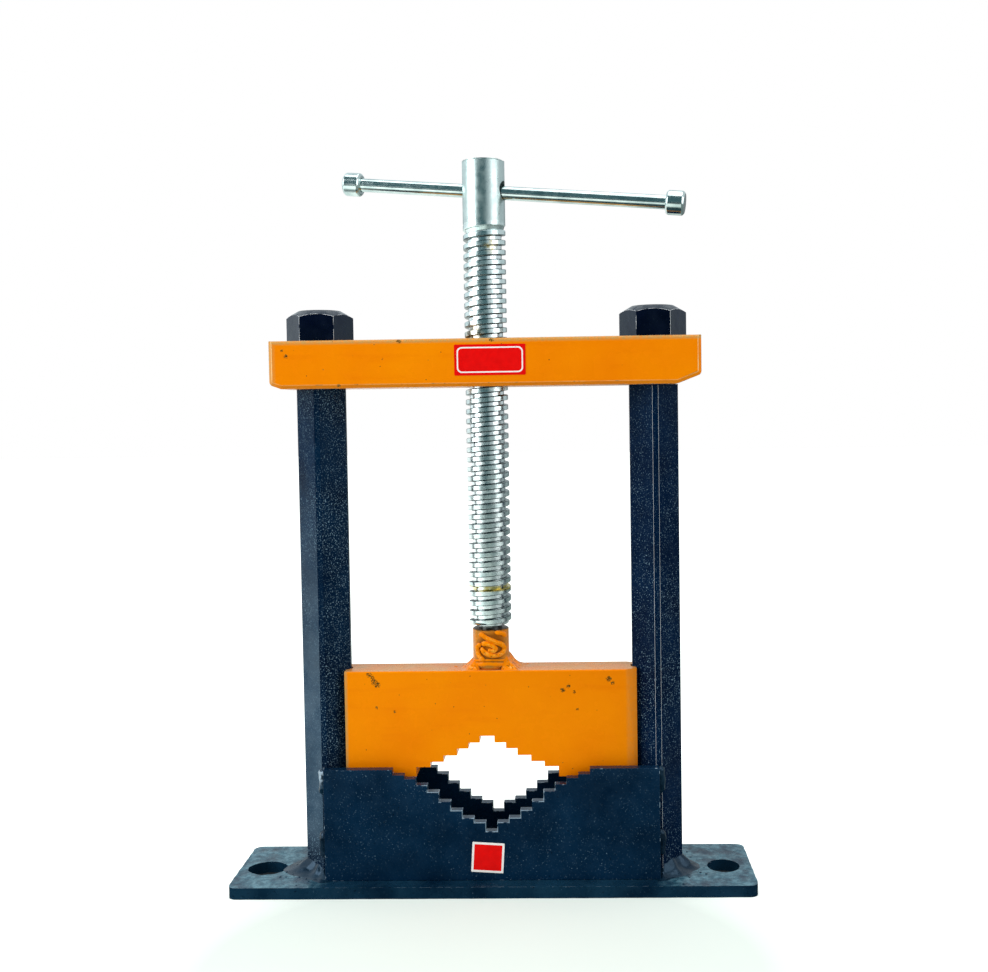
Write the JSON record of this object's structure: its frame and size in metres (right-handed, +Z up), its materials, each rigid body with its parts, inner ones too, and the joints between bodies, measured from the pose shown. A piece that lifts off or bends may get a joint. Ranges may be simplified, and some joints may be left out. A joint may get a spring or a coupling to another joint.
{
  "type": "pipe vise",
  "caption": "Bench pipe vise: an upper jaw with a stepped V, driven by a hand screw through a crossbar, closes on stepped lower jaw plates between square posts on a bolt-down base.",
  "frame": {"origin": "on the base plate's underside, directly below the screw axis and midway between the bench-bolt holes", "axes": "+X along the base to the viewer's right, +Y to the back, +Z up along the screw"},
  "size_m": [0.272, 0.0579, 0.3769],
  "materials": {
    "navy_paint": "gloss paint over hammered steel",
    "orange_paint": "gloss enamel",
    "zinc_steel": "bright zinc plate",
    "bright_steel": "bright turned steel",
    "sticker_print": "printed vinyl"
  },
  "bodies": {
    "frame": {"base_plate": "navy_paint", "post_left": "navy_paint", "post_right": "navy_paint", "front_jaw_plate": "navy_paint", "rear_jaw_plate": "navy_paint", "crossbar": "orange_paint", "nut_left": "navy_paint", "nut_right": "navy_paint", "post_weld_left": "navy_paint", "post_weld_right": "navy_paint", "front_plate_tacks": "navy_paint", "rear_plate_tacks": "navy_paint"},
    "jaw": {"upper_jaw": "orange_paint", "jaw_boss": "orange_paint", "boss_weld_left": "orange_paint", "boss_weld_right": "orange_paint", "swivel_pin": "bright_steel", "pin_weld": "orange_paint"},
    "screw": {"screw": "zinc_steel"},
    "handle": {"handle_rod": "bright_steel", "handle_knob_left": "bright_steel", "handle_knob_right": "bright_steel"}
  },
  "joints": [
    {"name": "jaw_slide", "type": "slide", "parent": "frame", "child": "jaw", "axis": [0, 0, 1], "range_m": [-0.042, 0.1255]},
    {"name": "screw_turn", "type": "hinge", "parent": "jaw", "child": "screw", "pos_m": [0, 0, 0], "axis": [0, 0, 1], "range_deg": [-3030, 9042]},
    {"name": "handle_slide", "type": "slide", "parent": "screw", "child": "handle", "axis": [0.973, -0.2033, -0.1097], "range_m": [-0.083, 0.055]}
  ],
  "couplings": [
    {"joint": "screw_turn", "follows": "jaw_slide", "rad_per_m": 1256.6}
  ]
}
